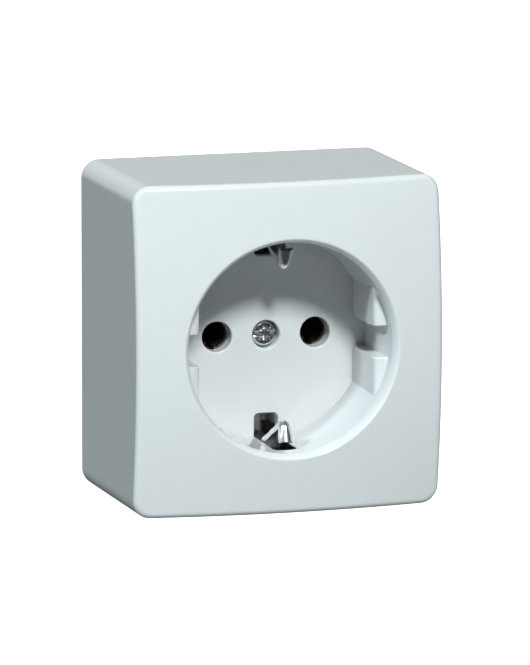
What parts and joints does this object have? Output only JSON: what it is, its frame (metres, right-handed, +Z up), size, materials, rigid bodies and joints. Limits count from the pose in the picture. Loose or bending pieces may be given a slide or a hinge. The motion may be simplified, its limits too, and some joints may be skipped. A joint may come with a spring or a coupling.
{
  "type": "surface mounted socket outlet",
  "caption": "Surface mounted earthed socket outlet in a domed white box, with a round plug recess, side earth contacts, screw terminals and a screwed cover.",
  "frame": {"origin": "centre of the back, on the wall plane", "axes": "+X to the right seen from the front, +Y into the wall, +Z up; the socket faces -Y"},
  "size_m": [0.0588, 0.0398, 0.0618],
  "materials": {
    "cover_plastic": "glossy moulded white",
    "base_plastic": "satin moulded white",
    "insert_thermoset": "pressed light grey thermoset",
    "retainer_fibre": "dull brown insulating board",
    "contact_brass": "bright stamped",
    "nickel_strip": "bright nickel plated",
    "spring_steel": "rolled spring steel",
    "zinc_steel": "bright zinc plated",
    "washer_nylon": "natural nylon"
  },
  "bodies": {
    "socket": {"cover": "cover_plastic", "base_plate": "base_plastic", "insert_body": "insert_thermoset", "contact_retainer": "retainer_fibre", "earth_bracket": "nickel_strip", "live_contact_left": "contact_brass", "live_contact_right": "contact_brass", "clip_spring_left": "spring_steel", "clip_spring_right": "spring_steel", "cover_screw_bush": "contact_brass", "earth_rivet_upper": "contact_brass", "earth_rivet_lower": "contact_brass", "insert_screw_left": "zinc_steel", "insert_screw_right": "zinc_steel"},
    "washer": {"screw_washer": "washer_nylon"},
    "cover_screw": {"cover_screw": "zinc_steel"},
    "left_clamp": {"clamp_plate_left": "zinc_steel"},
    "left_screw": {"terminal_screw_left": "zinc_steel"},
    "right_clamp": {"clamp_plate_right": "zinc_steel"},
    "right_screw": {"terminal_screw_right": "zinc_steel"},
    "earth_clamp": {"clamp_plate_earth": "zinc_steel"},
    "earth_screw": {"terminal_screw_earth": "zinc_steel"}
  },
  "joints": [
    {"name": "cover_screw_travel", "type": "slide", "parent": "socket", "child": "washer", "axis": [0, 1, 0], "range_m": [-0.0028, 0]},
    {"name": "cover_screw_turn", "type": "hinge", "parent": "washer", "child": "cover_screw", "pos_m": [0, -0.01975, 0], "axis": [0, 1, 0], "range_deg": [-2016, 0]},
    {"name": "left_clamp_travel", "type": "slide", "parent": "socket", "child": "left_clamp", "axis": [0, 1, 0], "range_m": [0, 0.0021]},
    {"name": "left_screw_turn", "type": "hinge", "parent": "left_clamp", "child": "left_screw", "pos_m": [-0.0112, -0.01675, -0.012], "axis": [0, 1, 0], "range_deg": [0, 1260]},
    {"name": "right_clamp_travel", "type": "slide", "parent": "socket", "child": "right_clamp", "axis": [0, 1, 0], "range_m": [0, 0.0021]},
    {"name": "right_screw_turn", "type": "hinge", "parent": "right_clamp", "child": "right_screw", "pos_m": [0.0112, -0.01675, -0.012], "axis": [0, 1, 0], "range_deg": [0, 1260]},
    {"name": "earth_clamp_travel", "type": "slide", "parent": "socket", "child": "earth_clamp", "axis": [0, 1, 0], "range_m": [0, 0.0021]},
    {"name": "earth_screw_turn", "type": "hinge", "parent": "earth_clamp", "child": "earth_screw", "pos_m": [0.0112, -0.01675, 0.012], "axis": [0, 1, 0], "range_deg": [0, 1260]}
  ],
  "couplings": [
    {"joint": "cover_screw_turn", "follows": "cover_screw_travel", "rad_per_m": 12566},
    {"joint": "left_screw_turn", "follows": "left_clamp_travel", "rad_per_m": 10472},
    {"joint": "right_screw_turn", "follows": "right_clamp_travel", "rad_per_m": 10472},
    {"joint": "earth_screw_turn", "follows": "earth_clamp_travel", "rad_per_m": 10472}
  ]
}
